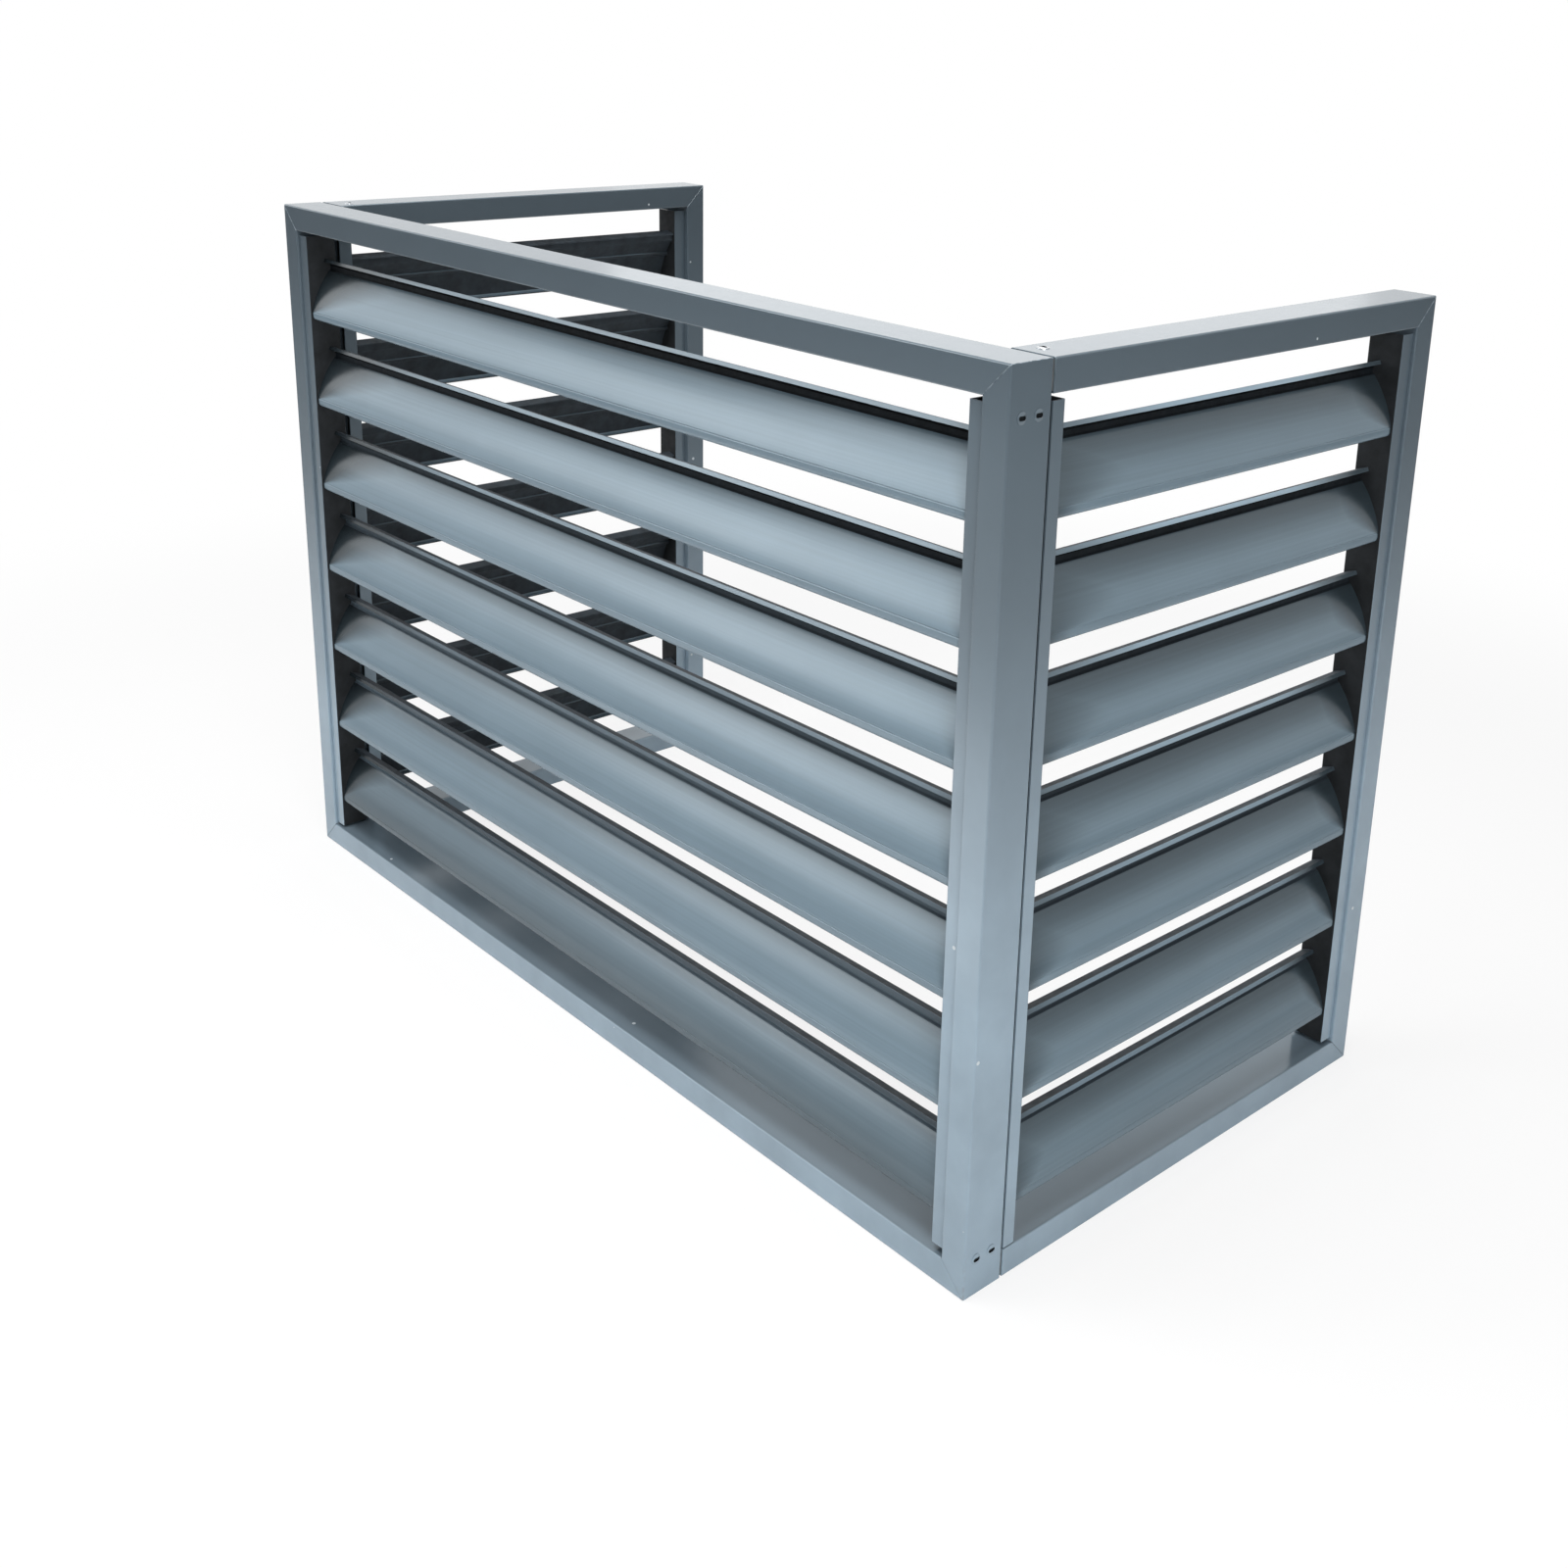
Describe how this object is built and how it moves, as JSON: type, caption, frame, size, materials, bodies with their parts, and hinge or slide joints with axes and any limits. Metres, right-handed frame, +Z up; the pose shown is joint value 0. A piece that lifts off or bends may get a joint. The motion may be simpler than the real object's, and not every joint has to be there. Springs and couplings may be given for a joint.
{
  "type": "air conditioner screen",
  "caption": "Free-standing U-shaped louvred screen that hides an outdoor air conditioner, with sloping slats held in upright channels inside mitred tube frames.",
  "frame": {"origin": "on the ground, under the middle of the screen's width and depth", "axes": "+Z up; the front panel's outer face looks along -Y, the open back is at +Y, and +X is to the right when the front is looked at"},
  "size_m": [1, 0.5, 0.7],
  "materials": {
    "frame": "satin anthracite powder coat",
    "channel": "satin anthracite powder coat",
    "slat": "satin anthracite powder coat",
    "key": "as cast",
    "screw": "zinc plated"
  },
  "bodies": {
    "root": {"front_top_rail": "frame", "front_bottom_rail": "frame", "front_left_stile": "frame", "front_right_stile": "frame", "front_left_channel": "channel", "front_right_channel": "channel", "front_slat_1": "slat", "front_slat_2": "slat", "front_slat_3": "slat", "front_slat_4": "slat", "front_slat_5": "slat", "front_slat_6": "slat", "front_slat_7": "slat", "front_top_left_key": "key", "front_top_right_key": "key", "front_bottom_left_key": "key", "front_bottom_right_key": "key", "right_top_rail": "frame", "right_bottom_rail": "frame", "right_back_stile": "frame", "right_front_channel": "channel", "right_back_channel": "channel", "right_slat_1": "slat", "right_slat_2": "slat", "right_slat_3": "slat", "right_slat_4": "slat", "right_slat_5": "slat", "right_slat_6": "slat", "right_slat_7": "slat", "right_top_back_key": "key", "right_bottom_back_key": "key", "right_top_connector": "key", "right_bottom_connector": "key", "right_connector_screw": "screw", "right_top_screw_1": "screw", "right_top_screw_2": "screw", "right_bottom_screw_1": "screw", "right_bottom_screw_2": "screw", "left_top_rail": "frame", "left_bottom_rail": "frame", "left_back_stile": "frame", "left_front_channel": "channel", "left_back_channel": "channel", "left_slat_1": "slat", "left_slat_2": "slat", "left_slat_3": "slat", "left_slat_4": "slat", "left_slat_5": "slat", "left_slat_6": "slat", "left_slat_7": "slat", "left_top_back_key": "key", "left_bottom_back_key": "key", "left_top_connector": "key", "left_bottom_connector": "key", "left_connector_screw": "screw", "left_top_screw_1": "screw", "left_top_screw_2": "screw", "left_bottom_screw_1": "screw", "left_bottom_screw_2": "screw"}
  },
  "joints": []
}
